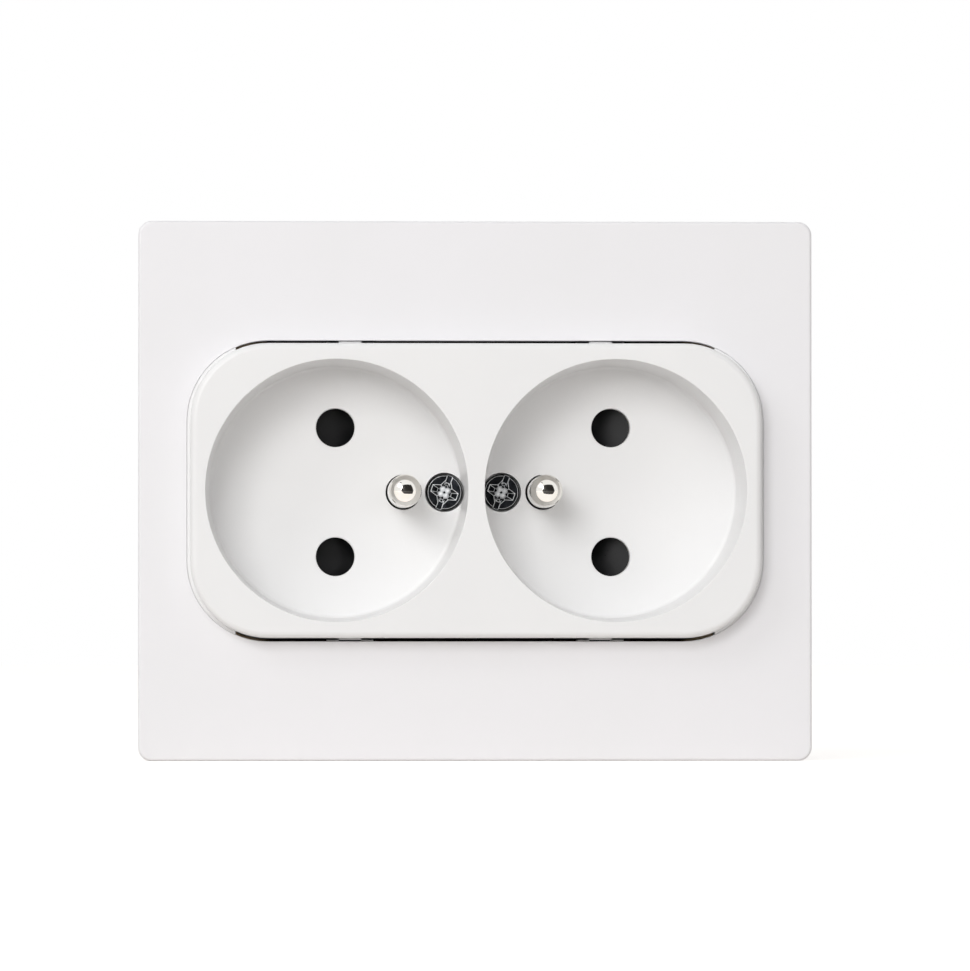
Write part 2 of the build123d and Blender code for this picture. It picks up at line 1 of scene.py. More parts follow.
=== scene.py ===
import bpy
import bmesh
import json
import math
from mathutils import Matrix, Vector


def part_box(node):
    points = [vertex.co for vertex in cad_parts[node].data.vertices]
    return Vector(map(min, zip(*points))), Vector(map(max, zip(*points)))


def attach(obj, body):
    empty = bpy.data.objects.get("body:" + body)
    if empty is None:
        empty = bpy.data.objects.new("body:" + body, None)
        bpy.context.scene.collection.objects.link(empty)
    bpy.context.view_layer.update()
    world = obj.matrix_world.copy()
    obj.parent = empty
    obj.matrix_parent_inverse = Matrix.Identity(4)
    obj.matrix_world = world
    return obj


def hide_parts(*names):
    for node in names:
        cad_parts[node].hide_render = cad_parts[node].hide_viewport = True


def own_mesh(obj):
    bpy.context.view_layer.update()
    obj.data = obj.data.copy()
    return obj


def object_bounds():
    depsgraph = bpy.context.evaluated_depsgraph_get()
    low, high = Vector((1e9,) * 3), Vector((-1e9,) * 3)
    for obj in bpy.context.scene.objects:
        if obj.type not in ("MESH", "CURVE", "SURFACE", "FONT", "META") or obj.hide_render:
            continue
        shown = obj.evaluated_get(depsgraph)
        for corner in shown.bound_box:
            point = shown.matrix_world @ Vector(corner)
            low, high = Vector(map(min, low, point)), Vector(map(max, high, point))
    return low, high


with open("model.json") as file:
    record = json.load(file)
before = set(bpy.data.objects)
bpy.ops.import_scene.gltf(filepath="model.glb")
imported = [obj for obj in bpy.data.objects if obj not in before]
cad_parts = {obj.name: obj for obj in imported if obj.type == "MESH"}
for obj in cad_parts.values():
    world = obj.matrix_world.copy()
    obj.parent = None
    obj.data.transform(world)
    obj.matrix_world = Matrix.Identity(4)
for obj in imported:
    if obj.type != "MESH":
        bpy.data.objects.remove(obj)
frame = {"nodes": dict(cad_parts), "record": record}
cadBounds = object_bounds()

# The socket hangs on the wall plane y = 0 and faces -Y. Sizes below are in millimetres:
# u runs right, v runs up the wall and depth runs out of the wall.
mm = 0.001
white = (1.0, 1.0, 1.0)
black = (0.0, 0.0, 0.0)
sides = (-1, 1)

# depths and outlines that several pieces share: an outline is width, height and corner radius
boxDepth = 39.0
plateUnder = 40.3
plateFront = 42.5
coverFront = 47.0
wellFloor = 32.0
floorUnder = 29.5
strapTop = 37.5
strapLow = 36.5
skirtLow = 26.0
shutterLow = 25.75
shutterHigh = 29.25
plateOutline = (98.4, 78.8, 2.0)
boxInside = (94.0, 74.4, 0.5)
openingOutline = (84.2, 43.9, 11.8)
coverOutline = (83.2, 42.9, 11.3)
wellX = 20.3
contactV = 9.5
rampStart = 17.4
shutterEnd = 26.8
springStop = 35.8
base = "fixed_socket"

# how finely corners are rounded, the flat strip kept beside each, and the sharpest corner still rounded
cornerSteps = 14
sideGuard = 0.4
sharpestCorner = 0.05
over = 1.0  # how far a cutting shape stands out of what it cuts


# shader helpers
class Wire:
    # wraps one socket, so that shader maths can be written as plain expressions
    def __init__(self, finish, socket):
        self.finish = finish
        self.socket = socket

    def __add__(self, other):
        return self.finish.maths("ADD", self, other)

    def __radd__(self, other):
        return self.finish.maths("ADD", other, self)

    def __sub__(self, other):
        return self.finish.maths("SUBTRACT", self, other)

    def __rsub__(self, other):
        return self.finish.maths("SUBTRACT", other, self)

    def __mul__(self, other):
        return self.finish.maths("MULTIPLY", self, other)

    def __rmul__(self, other):
        return self.finish.maths("MULTIPLY", other, self)


class Finish:
    # one material, with its shader ready and short ways to add nodes
    def __init__(self, name):
        self.material = bpy.data.materials.new(name)
        self.material.use_nodes = True
        self.tree = self.material.node_tree
        self.shader = self.tree.nodes["Principled BSDF"]

    def add(self, kind, settings, sockets, out=0):
        node = self.tree.nodes.new(kind)
        for key, value in settings.items():
            if key == "stops":
                self.paintRamp(node.color_ramp, value)
            else:
                setattr(node, key, value)
        for key, value in sockets.items():
            self.feed(node.inputs[key], value)
        return Wire(self, node.outputs[out])

    def paintRamp(self, ramp, stops):
        while len(ramp.elements) < len(stops):
            ramp.elements.new(1.0)
        for element, (place, colour) in zip(ramp.elements, stops):
            element.position = place
            element.color = (*colour, 1.0)

    def feed(self, socket, value):
        if isinstance(value, Wire):
            self.tree.links.new(value.socket, socket)
        elif hasattr(socket.default_value, "__len__") and len(socket.default_value) == 4:
            socket.default_value = (*value, 1.0)
        else:
            socket.default_value = value

    def maths(self, operation, first, second):
        return self.add("ShaderNodeMath", {"operation": operation}, {0: first, 1: second})

    def where(self):
        # the place on the object, in millimetres
        spot = self.add("ShaderNodeTexCoord", {}, {}, "Object")
        return self.add("ShaderNodeVectorMath", {"operation": "SCALE"}, {0: spot, "Scale": 1 / mm})

    def stretch(self, spot, scale):
        return self.add("ShaderNodeVectorMath", {"operation": "MULTIPLY"}, {0: spot, 1: scale})

    def noise(self, spot, scale, detail=3.0, rough=0.5):
        sockets = {"Vector": spot, "Scale": scale, "Detail": detail, "Roughness": rough}
        return self.add("ShaderNodeTexNoise", {}, sockets, "Fac")

    def level(self, value, low, high):
        # spreads a value between low and high over nought to one
        return self.add("ShaderNodeMapRange", {}, {"Value": value, "From Min": low, "From Max": high})

    def blendOf(self, share, first, second):
        # the Mix node's colour sockets are its seventh and eighth, and its colour output its third
        return self.add("ShaderNodeMix", {"data_type": "RGBA"}, {0: share, 6: first, 7: second}, 2)

    def ramp(self, value, stops):
        return self.add("ShaderNodeValToRGB", {"stops": stops}, {"Fac": value}, "Color")

    def bump(self, height, distance):
        return self.add("ShaderNodeBump", {}, {"Height": height, "Strength": 1.0, "Distance": distance * mm})

    def shade(self, **values):
        # puts values or links on the shader's own sockets
        for key, value in values.items():
            self.feed(self.shader.inputs[key.replace("_", " ")], value)
        return self.material


# finishes, one for each material slot of the record
def mouldedPlastic(name, look):
    f = Finish(name)
    spot = f.where()
    drift = f.noise(spot, look["driftScale"], look["driftDetail"])
    fine = f.noise(spot, look["grainScale"], look["grainDetail"], look["grainRough"])
    ripple = f.noise(spot, look["rippleScale"], look["rippleDetail"])
    colour = f.blendOf(f.level(drift, *look["driftSpan"]), look["colour"], look["secondColour"])
    rough = look["roughness"] + (fine - 0.5) * look["roughSpread"] + (drift - 0.5) * look["roughSpread"]
    height = fine * look["grain"] + ripple * look["ripple"]
    return f.shade(Base_Color=colour, Roughness=rough, Normal=f.bump(height, 1.0),
                   IOR=look["ior"], Specular_IOR_Level=look["specular"])


coverLook = {"colour": (0.885, 0.884, 0.884), "secondColour": (0.872, 0.871, 0.873), "driftScale": 0.06,
             "driftDetail": 2.0, "driftSpan": (0.35, 0.65), "grainScale": 3.2, "grainDetail": 4.0,
             "grainRough": 0.6, "rippleScale": 0.35, "rippleDetail": 1.0, "roughness": 0.34,
             "roughSpread": 0.08, "grain": 0.0016, "ripple": 0.004, "ior": 1.49, "specular": 0.5}
plateLook = dict(coverLook, colour=(0.876, 0.868, 0.888), secondColour=(0.866, 0.860, 0.876), roughness=0.38)
boxLook = dict(coverLook, colour=(0.865, 0.862, 0.872), secondColour=(0.845, 0.843, 0.850),
               roughness=0.5, roughSpread=0.14, grain=0.006, grainScale=2.2)
shutterLook = dict(coverLook, colour=(0.010, 0.010, 0.011), secondColour=(0.015, 0.015, 0.016),
                   roughness=0.32, roughSpread=0.16, grain=0.003, specular=0.35)
carrierLook = dict(coverLook, colour=(0.03, 0.029, 0.028), secondColour=(0.055, 0.05, 0.046),
                   driftScale=0.8, roughness=0.58, roughSpread=0.2, grain=0.01, grainScale=4.0)


lineDetail = 5.0
lineRough = 0.65


def toolLines(f, spot, look):
    # the fine lines that rolling, turning or wear leaves, stretched along the work
    return f.noise(f.stretch(spot, look["grainAlong"]), look["grainScale"], lineDetail, lineRough)


def platedMetal(name, look):
    f = Finish(name)
    spot = f.where()
    lines = toolLines(f, spot, look)
    cloud = f.noise(spot, look["cloudScale"])
    spread = look["roughSpread"]
    rough = look["roughness"] + (lines - 0.5) * spread + (cloud - 0.5) * (spread / 2)
    return f.shade(Base_Color=f.ramp(cloud, look["tints"]), Roughness=rough, Metallic=look["metallic"],
                   Normal=f.bump(lines, look["grain"]))


def passivatedSteel(name, look):
    # painted shade: nearly black along the straight sides, shaded under the gap; its own tan near the corners
    f = Finish(name)
    spot = f.where()
    lines = toolLines(f, spot, look)
    cloud = f.noise(spot, look["cloudScale"])
    along = f.maths("ABSOLUTE", f.add("ShaderNodeSeparateXYZ", {}, {"Vector": spot}, "X"), 0.0)
    clearOfPaintedShade = f.level(along + (cloud - 0.5) * look["paintedShadeWander"], look["paintedShadeFadeFrom"], look["paintedShadeFadeTo"])
    rough = look["roughness"] + (lines - 0.5) * look["roughSpread"]
    colour = f.blendOf(clearOfPaintedShade, look["paintedShadeColour"], f.ramp(cloud, look["tints"]))
    return f.shade(Base_Color=colour, Roughness=rough, Metallic=look["metallic"],
                   Normal=f.bump(lines, look["grain"]))


def tints(*colours):
    # lays the colours out over the middle of the noise's range
    start, span = 0.3, 0.4
    last = len(colours) - 1
    return [(start + span * i / last, colour) for i, colour in enumerate(colours)]


nickelLook = {"tints": tints((0.83, 0.80, 0.74), (0.88, 0.86, 0.82)), "cloudScale": 0.5, "metallic": 1.0,
              "roughness": 0.06, "roughSpread": 0.04, "grain": 0.0006, "grainScale": 1.0,
              "grainAlong": (0.6, 9.0, 0.6)}
# the strap's own tan tints, and the nearly black painted shade along its straight sides
yellowSteelLook = {"tints": tints((0.78, 0.50, 0.30), (0.95, 0.72, 0.48), (0.90, 0.72, 0.52)),
                   "cloudScale": 0.25, "metallic": 0.6, "paintedShadeColour": (0.010, 0.007, 0.006), "paintedShadeFadeFrom": 30.0,
                   "paintedShadeFadeTo": 35.0, "paintedShadeWander": 3.0, "roughness": 0.38, "roughSpread": 0.2, "grain": 0.002,
                   "grainScale": 1.2, "grainAlong": (0.15, 2.0, 3.0)}
brassLook = {"tints": tints((0.62, 0.42, 0.16), (0.80, 0.60, 0.28)), "cloudScale": 0.4, "metallic": 1.0,
             "roughness": 0.32, "roughSpread": 0.2, "grain": 0.002, "grainScale": 1.5,
             "grainAlong": (0.2, 2.0, 3.0)}
zincLook = {"tints": tints((0.50, 0.51, 0.54), (0.66, 0.66, 0.68)), "cloudScale": 0.8, "metallic": 1.0,
            "roughness": 0.34, "roughSpread": 0.2, "grain": 0.002, "grainScale": 3.0,
            "grainAlong": (1.0, 1.0, 1.0)}
darkScrewLook = {"tints": tints((0.012, 0.013, 0.015), (0.04, 0.043, 0.05)), "cloudScale": 1.6,
                 "metallic": 1.0, "roughness": 0.34, "roughSpread": 0.25, "grain": 0.004, "grainScale": 5.0,
                 "grainAlong": (1.0, 1.0, 1.0)}
# near-white, hardly metallic finish for the screws' bevelled edges and recess beads: edge wear and painted
# highlight
edgeWearAndHighlightLook = dict(zincLook, tints=tints((0.90, 0.93, 0.95), (0.97, 0.98, 1.0)), roughness=0.3,
                      metallic=0.15)
wireLook = dict(zincLook, tints=tints((0.55, 0.55, 0.56), (0.70, 0.70, 0.71)), roughness=0.22)

finishes = {
    "box_white": mouldedPlastic("boxWhite", boxLook),
    "plate_white": mouldedPlastic("plateWhite", plateLook),
    "cover_white": mouldedPlastic("coverWhite", coverLook),
    "shutter_black": mouldedPlastic("shutterBlack", shutterLook),
    "carrier_moulding": mouldedPlastic("carrierThermoset", carrierLook),
    "nickel_pin": platedMetal("nickelPin", nickelLook),
    "strap_steel": passivatedSteel("yellowSteel", yellowSteelLook),
    "brass_contact": platedMetal("brassContact", brassLook),
    "zinc_screw": platedMetal("zincScrew", zincLook),
    "terminal_screw": platedMetal("terminalScrew", dict(zincLook, roughness=0.28)),
    "dark_screw": platedMetal("darkScrew", darkScrewLook),
    "spring_steel": platedMetal("springSteel", wireLook),
}
edgeWearAndHighlight = platedMetal("edgeWearAndHighlight", edgeWearAndHighlightLook)
print("finishes ready", len(finishes) + 1)

slotOf = {part["node"]: part["material_slot"] for part in frame["record"]["subparts"]}
for name, obj in frame["nodes"].items():
    obj.data.materials.clear()
    obj.data.materials.append(finishes[slotOf[name]])
print("cad nodes dressed", len(frame["nodes"]))


# mesh helpers
def spotAt(u, v, depth):
    return Vector((u * mm, -depth * mm, v * mm))


def newPiece(name, mesh):
    piece = bpy.data.objects.new(name, mesh)
    bpy.context.scene.collection.objects.link(piece)
    return piece


def outlineLoop(outline, grow, depth, sideSteps=1):
    # a rounded rectangle as a ring of points, the same number whatever its size; one more point on either
    # side of each corner keeps its curve out of the shading of the flat sides
    width, height = outline[0] + 2 * grow, outline[1] + 2 * grow
    radius = max(outline[2] + grow, sharpestCorner)
    arcs = []
    for corner, (x, y) in enumerate(((1, 1), (-1, 1), (-1, -1), (1, -1))):
        points = []
        middleU, middleV = x * (width / 2 - radius), y * (height / 2 - radius)
        for i in range(-1, cornerSteps + 2):
            turn = math.pi / 2 * (corner + min(max(i, 0), cornerSteps) / cornerSteps)
            guard = sideGuard * ((i > cornerSteps) - (i < 0))
            points.append(spotAt(middleU + radius * math.cos(turn) - guard * math.sin(turn),
                                 middleV + radius * math.sin(turn) + guard * math.cos(turn), depth))
        arcs.append(points)
    ring = []
    for arc, following in zip(arcs, arcs[1:] + arcs[:1]):
        ring += arc + [arc[-1].lerp(following[0], i / sideSteps) for i in range(1, sideSteps)]
    return ring


def loftRings(name, rings, closed=False):
    # skins a stack of rings; a closed stack joins its last ring to its first, an open one gets end caps
    bm = bmesh.new()
    rows = [[bm.verts.new(p) for p in ring] for ring in rings]
    pairs = list(zip(rows, rows[1:])) + ([(rows[-1], rows[0])] if closed else [])
    for low, high in pairs:
        for i in range(len(low)):
            j = (i + 1) % len(low)
            bm.faces.new((low[i], low[j], high[j], high[i]))
    if not closed:
        bm.faces.new(rows[0])
        bm.faces.new(rows[-1])
    bmesh.ops.recalc_face_normals(bm, faces=bm.faces)
    mesh = bpy.data.meshes.new(name)
    bm.to_mesh(mesh)
    bm.free()
    return newPiece(name, mesh)


def turned(name, profile, u, v, steps):
    # a lathe shape about the depth axis, from a list of radius and depth
    turns = [2 * math.pi * i / steps for i in range(steps)]
    return loftRings(name, [[spotAt(u + radius * math.cos(a), v + radius * math.sin(a), depth)
                             for a in turns] for radius, depth in profile])


def blockOf(name, uSpan, vSpan, depths):
    uSpan, vSpan = sorted(uSpan), sorted(vSpan)
    corners = ((0, 0), (1, 0), (1, 1), (0, 1))
    return loftRings(name, [[spotAt(uSpan[a], vSpan[b], depth) for a, b in corners] for depth in depths])


def arcSteps(centre, radius, start, end, steps):
    # points along an arc, with its angles in degrees
    turns = [math.radians(start + (end - start) * i / steps) for i in range(steps + 1)]
    return [(centre[0] + radius * math.cos(a), centre[1] + radius * math.sin(a)) for a in turns]


def applyAll(piece):
    bpy.context.view_layer.update()
    graph = bpy.context.evaluated_depsgraph_get()
    mesh = bpy.data.meshes.new_from_object(piece.evaluated_get(graph))
    piece.modifiers.clear()
    piece.data = mesh
    return piece


def boolean(piece, tools, operation):
    for tool in tools:
        change = piece.modifiers.new("change", "BOOLEAN")
        change.operation = operation
        change.object = tool
        change.solver = "EXACT"
    applyAll(piece)
    for tool in tools:
        bpy.data.objects.remove(tool)
    return piece


def cutAway(piece, *tools):
    return boolean(piece, tools, "DIFFERENCE")


def joinOn(piece, *tools):
    return boolean(piece, tools, "UNION")


def softenEdges(piece, width, segments=2, angle=35, bright=None):
    bevel = piece.modifiers.new("soften", "BEVEL")
    bevel.width = width * mm
    bevel.segments = segments
    bevel.limit_method = "ANGLE"
    bevel.angle_limit = math.radians(angle)
    if bright is not None:
        bevel.material = bright
    return applyAll(piece)


def settle(piece, body, node, crease=30, flats=True):
    # smooth shading that keeps flat faces flat, then the piece takes the place of its node
    piece.data.polygons.foreach_set("use_smooth", [True] * len(piece.data.polygons))
    piece.data.set_sharp_from_angle(angle=math.radians(crease))
    if flats:
        weigh = piece.modifiers.new("flats", "WEIGHTED_NORMAL")
        weigh.keep_sharp = True
        applyAll(piece)
    slot = slotOf[node]
    if not piece.data.materials:
        piece.data.materials.append(finishes[slot])
    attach(piece, body)
    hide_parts(node)
    return piece


# front plate: a square-edged cap whose inner lip snaps into the box
frontPlate = {"openingEdge": 0.14, "outerEdge": 0.45, "seamEdge": 0.12, "lipOutline": (93.6, 74.0, 0.5),
              "lipWall": 1.2, "lipLow": 34.4, "catchU": 30.0, "catchWidth": 8.0, "catchReach": 0.5,
              "catchRoot": 0.6, "catchDepths": (35.0, 36.2)}


def snapCatch(end, u, gap=0.0):
    look = frontPlate
    face = look["lipOutline"][1] / 2
    half = look["catchWidth"] / 2 + gap
    low, high = look["catchDepths"]
    vSpan = (end * (face - look["catchRoot"]), end * (face + look["catchReach"] + gap))
    return blockOf("snapCatch", (u - half, u + half), vSpan, (low - gap, high + gap))


def makeFrontPlate():
    look = frontPlate
    edge, outer, seam = look["openingEdge"], look["outerEdge"], look["seamEdge"]
    rings = [outlineLoop(openingOutline, 0, plateUnder)]
    for grow, depth in arcSteps((edge, plateFront - edge), edge, 180, 90, 4):
        rings.append(outlineLoop(openingOutline, grow, depth))
    for grow, depth in arcSteps((-outer, plateFront - outer), outer, 90, 0, 6):
        rings.append(outlineLoop(plateOutline, grow, depth))
    for grow, depth in arcSteps((-seam, boxDepth + seam), seam, 0, -90, 3):
        rings.append(outlineLoop(plateOutline, grow, depth))
    rings.append(outlineLoop(boxInside, 0, boxDepth))
    rings.append(outlineLoop(boxInside, 0, plateUnder))
    for grow, depth in ((0, plateUnder), (0, look["lipLow"]), (-look["lipWall"], look["lipLow"]),
                        (-look["lipWall"], plateUnder)):
        rings.append(outlineLoop(look["lipOutline"], grow, depth))
    plate = loftRings("frontPlateMoulding", rings, closed=True)
    joinOn(plate, *[snapCatch(end, side * look["catchU"]) for end in sides for side in sides])
    return settle(plate, base, "front_plate")


makeFrontPlate()
print("front plate moulded")

# surface box: open at the front, with bosses for the strap and slots for the wall screws
surfaceBox = {"backEdge": 0.3, "seamEdge": 0.12, "backThickness": 2.0, "insideFillet": 0.5,
              "bossU": 41.0, "bossV": 31.0, "bossRadius": 3.5, "bossLow": 1.5, "screwHole": 1.55,
              "screwHoleDepth": 14.0, "holeEdge": 0.3, "ribWidth": 1.4, "ribTop": 31.9, "ribEnd": 48.0,
              "slotU": 30.0, "slotV": 29.0, "slotRadius": 2.25, "slotLength": 9.0,
              "slotProfile": ((0.25, -0.5), (0.25, 0.0), (0, 0.25), (0, 1.6), (0.4, 2.0), (0.4, 3.0)),
              "entryV": 25.5, "entryRadius": 9.0, "entryEdge": 0.3, "catchGap": 0.3,
              "knockOutWidth": 20.0, "knockOutFrom": 36.5, "knockOutDepths": (9.0, 25.0),
              "knockOutSkin": 0.8, "scoreWidth": 0.35, "scoreDepth": 0.25}


def slotCutter(u, v):
    # a long hole for a wall screw, widened at both faces; its profile is how much wider at which depth
    look = surfaceBox
    radius, reach = look["slotRadius"], look["slotLength"] / 2 - look["slotRadius"]
    rings = []
    for grow, depth in look["slotProfile"]:
        ring = []
        for side, start in ((1, -90), (-1, 90)):
            for x, y in arcSteps((side * reach, 0), radius + grow, start, start + 180, 20):
                ring.append(spotAt(u + x, v + y, depth))
        rings.append(ring)
    return loftRings("slotCutter", rings)


def makeSurfaceBox():
    look = surfaceBox
    edge, seam = look["backEdge"], look["seamEdge"]
    fillet, back = look["insideFillet"], look["backThickness"]
    rings = []
    for grow, depth in arcSteps((-edge, edge), edge, -90, 0, 4):
        rings.append(outlineLoop(plateOutline, grow, depth))
    for grow, depth in arcSteps((-seam, boxDepth - seam), seam, 0, 90, 3):
        rings.append(outlineLoop(plateOutline, grow, depth))
    rings.append(outlineLoop(boxInside, 0, boxDepth))
    for grow, depth in arcSteps((-fillet, back + fillet), fillet, 0, -90, 4):
        rings.append(outlineLoop(boxInside, grow, depth))
    box = loftRings("surfaceBoxMoulding", rings)
    bosses, cuts = [], []
    bossLow, bossWide, ribHalf = look["bossLow"], look["bossRadius"], look["ribWidth"] / 2
    hole, holeWide = look["screwHole"], look["screwHole"] + look["holeEdge"]
    holeShape = [(hole, strapLow - look["screwHoleDepth"]), (hole, strapLow - look["holeEdge"]),
                 (holeWide, strapLow), (holeWide, strapLow + over)]
    for side in sides:
        for end in sides:
            u, v = side * look["bossU"], end * look["bossV"]
            bosses.append(turned("boss", [(bossWide, bossLow), (bossWide, strapLow)], u, v, steps=48))
            bosses.append(blockOf("bossRib", (u, side * look["ribEnd"]), (v - ribHalf, v + ribHalf),
                                  (bossLow, look["ribTop"])))
            cuts.append(turned("screwHole", holeShape, u, v, steps=32))
            cuts.append(slotCutter(side * look["slotU"], end * look["slotV"]))
            cuts.append(snapCatch(end, side * frontPlate["catchU"], look["catchGap"]))
    joinOn(box, *bosses)
    radius, rim = look["entryRadius"], look["entryEdge"]
    entryShape = [(radius + rim, -over), (radius + rim, 0), (radius, rim), (radius, back - rim),
                  (radius + rim, back), (radius + rim, back + over)]
    cuts.append(turned("cableEntry", entryShape, 0, look["entryV"], steps=72))
    half, (low, high) = look["knockOutWidth"] / 2, look["knockOutDepths"]
    outside = plateOutline[1] / 2
    wide, deep = look["scoreWidth"], look["scoreDepth"]
    for end in sides:
        skinSpan = (end * look["knockOutFrom"], end * (outside - look["knockOutSkin"]))
        cuts.append(blockOf("knockOut", (-half, half), skinSpan, (low, high)))
        score = blockOf("score", (-half, half), (end * (outside - deep), end * (outside + over)), (low, high))
        heart = blockOf("scoreHeart", (-half + wide, half - wide),
                        (end * (outside - over), end * (outside + 2 * over)), (low + wide, high - wide))
        cuts.append(cutAway(score, heart))
    cutAway(box, *cuts)
    return settle(box, base, "surface_box")


makeSurfaceBox()
print("surface box moulded")

# socket cover: one thin moulding with both wells, held by the two screws between them
socketCover = {"edgeRound": 0.95, "sideSteps": 12, "sideDepths": (31.0, 35.0, 37.2, 42.4), "wall": 2.0,
               "face": 2.2, "rimRadius": 19.1, "floorRadius": 18.6, "rimRound": 0.12, "floorFillet": 0.6,
               "cupWall": 1.6, "cupSink": 0.2, "holeRadius": 2.85, "holeEdge": 0.12, "pinU": 10.3,
               "pinHole": 2.6, "screwU": 4.2, "pocketRadius": 2.9, "pocketWall": 1.6, "pocketLow": 29.0,
               "shankHole": 1.8, "bossLow": 25.8, "bossSink": 0.5, "ribHalf": 0.6, "ribDepths": (31.0, 45.9),
               "collarTop": 42.35, "collarGap": 0.03, "collarFrom": 35.0, "collarCut": 50.0,
               "flangeReach": 1.2, "flangeThickness": 1.4, "lugU": 18.3, "lugWidth": 6.8, "lugTop": 41.6,
               "lugReaches": (0.3, 0.4), "footWidth": 1.75, "footReach": 0.4, "railWidth": 1.2,
               "railSink": 0.5, "guideV": 13.45, "stopGap": 0.3, "springSeat": 2.7, "cutLow": 24.5}


def collarRing(outline, grow, depths):
    # a band of the two ends, between the cover's own wall and the outline
    inside = -socketCover["wall"] / 2
    low, high = depths
    band = loftRings("collarBand", [outlineLoop(outline, grow, low), outlineLoop(outline, grow, high),
                                    outlineLoop(coverOutline, inside, high),
                                    outlineLoop(coverOutline, inside, low)], closed=True)
    reach, tall = socketCover["collarFrom"], socketCover["collarCut"]
    return cutAway(band, blockOf("middle", (-reach, reach), (-tall, tall), (low - over, high + over)))


def coverAdditions():
    look = socketCover
    added = []
    floorWide = look["floorRadius"] + look["cupWall"]
    rimWide = look["rimRadius"] + look["cupWall"]
    bossWide = look["pocketRadius"] + look["pocketWall"]
    cupShape = [(floorWide, floorUnder), (rimWide, coverFront - look["face"] + look["cupSink"])]
    bossShape = [(bossWide, look["bossLow"]), (bossWide, wellFloor - look["bossSink"])]
    for side in sides:
        added.append(turned("cup", cupShape, side * wellX, 0, steps=128))
        added.append(turned("pocketBoss", bossShape, side * look["screwU"], 0, steps=64))
    lugIn = coverOutline[1] / 2 - look["wall"] / 2
    added.append(blockOf("rib", (-look["ribHalf"], look["ribHalf"]), (-lugIn, lugIn), look["ribDepths"]))
    added.append(collarRing(openingOutline, -look["collarGap"], (strapTop, look["collarTop"])))
    added.append(collarRing(openingOutline, look["flangeReach"],
                            (strapTop, strapTop + look["flangeThickness"])))
    footOut = coverOutline[1] / 2 + look["footReach"]
    half = look["lugWidth"] / 2
    lugDepths = (strapTop, look["lugTop"])
    for side in sides:
        for end, reach in zip(sides, look["lugReaches"]):
            u = side * look["lugU"]
            lugOut = coverOutline[1] / 2 + reach
            added.append(blockOf("lug", (u - half, u + half), (end * lugIn, end * lugOut), lugDepths))
            for foot in sides:
                span = (u + foot * half, u + foot * (half - look["footWidth"]))
                added.append(blockOf("lugFoot", span, (end * lugIn, end * footOut), lugDepths))
    return added


def shutterRails():
    look = socketCover
    wide = look["railWidth"]
    depths = (shutterLow, floorUnder + look["railSink"])
    rails = []
    for side in sides:
        stop = rampStart - look["stopGap"]
        for end in sides:
            guideIn, guideOut = end * look["guideV"], end * (look["guideV"] + wide)
            rails.append(blockOf("rail", (side * (rampStart - wide), side * (springStop + wide)),
                                 (guideIn, guideOut), depths))
            rails.append(blockOf("stop", (side * (stop - wide), side * stop), (end * contactV, guideOut),
                                 depths))
        seat = look["springSeat"]
        rails.append(blockOf("springWall", (side * springStop, side * (springStop + wide)), (-seat, seat),
                             depths))
    return rails


def coverCuts(side):
    look = socketCover
    rim, floorWide = look["rimRadius"], look["floorRadius"]
    fillet, roundOff = look["floorFillet"], look["rimRound"]
    bowl = arcSteps((floorWide - fillet, wellFloor + fillet), fillet, -90, -2, 8)
    bowl += arcSteps((rim + roundOff, coverFront - roundOff), roundOff, 180, 90, 6)
    bowl.append((rim + roundOff, coverFront + over))
    cuts = [turned("bowl", bowl, side * wellX, 0, steps=160)]
    hole, edge, aboveFloor = look["holeRadius"], look["holeEdge"], wellFloor + over
    contactShape = [(hole, floorUnder - over), (hole, wellFloor - edge), (hole + edge, wellFloor),
                    (hole + edge, aboveFloor)]
    for end in sides:
        cuts.append(turned("contactHole", contactShape, side * wellX, end * contactV, steps=72))
    pinHole, cutLow = look["pinHole"], look["cutLow"]
    pinShape = [(pinHole, cutLow), (pinHole, aboveFloor)]
    cuts.append(turned("pinHole", pinShape, side * look["pinU"], 0, steps=64))
    pocket, pocketLow, shankHole = look["pocketRadius"], look["pocketLow"], look["shankHole"]
    pocketShape = [(shankHole, cutLow), (shankHole, pocketLow), (pocket, pocketLow),
                   (pocket, coverFront + over)]
    cuts.append(turned("screwPocket", pocketShape, side * look["screwU"], 0, steps=72))
    return cuts


def makeSocketCover():
    look = socketCover
    # the sides are split into small faces, so that the lugs and collars leave no large ragged face behind
    edge = look["edgeRound"]
    skin = [(0, depth) for depth in (skirtLow, *look["sideDepths"], coverFront - edge - sideGuard)]
    skin += arcSteps((-edge, coverFront - edge), edge, 0, 90, 8)
    rings = [outlineLoop(coverOutline, grow, depth, look["sideSteps"]) for grow, depth in skin]
    cover = loftRings("socketCoverMoulding", rings)
    hollow = loftRings("hollow", [outlineLoop(coverOutline, -look["wall"], depth)
                                  for depth in (skirtLow - over, coverFront - look["face"])])
    cutAway(cover, hollow)
    joinOn(cover, *coverAdditions())
    joinOn(cover, *shutterRails())
    cutAway(cover, *coverCuts(-1), *coverCuts(1))
    return settle(cover, base, "socket_cover")


makeSocketCover()
print("socket cover moulded")

# earth pins
earthPins = {"radius": 2.4, "domeSteps": 20,
             "foot": ((1.6, 0.0), (2.0, 0.3), (2.0, 0.6), (1.3, 0.6), (1.3, 1.4), (2.9, 1.4), (3.1, 1.6),
                      (3.1, 3.2), (2.9, 3.4), (2.4, 3.4))}


def makeEarthPin(name):
    # the foot is a riveted end and a collar: each radius with its height above the rivet's tail
    look = earthPins
    low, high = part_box(name)
    u = (low.x + high.x) / 2 / mm
    tail, top = -high.y / mm, -low.y / mm
    profile = [(radius, tail + height) for radius, height in look["foot"]]
    profile += arcSteps((0, top - look["radius"]), look["radius"], 0, 89, look["domeSteps"])
    return settle(turned(name + "Turned", profile, u, 0, steps=80), base, name, flats=False)


for name in ("left_earth_pin", "right_earth_pin"):
    makeEarthPin(name)
print("earth pins turned")

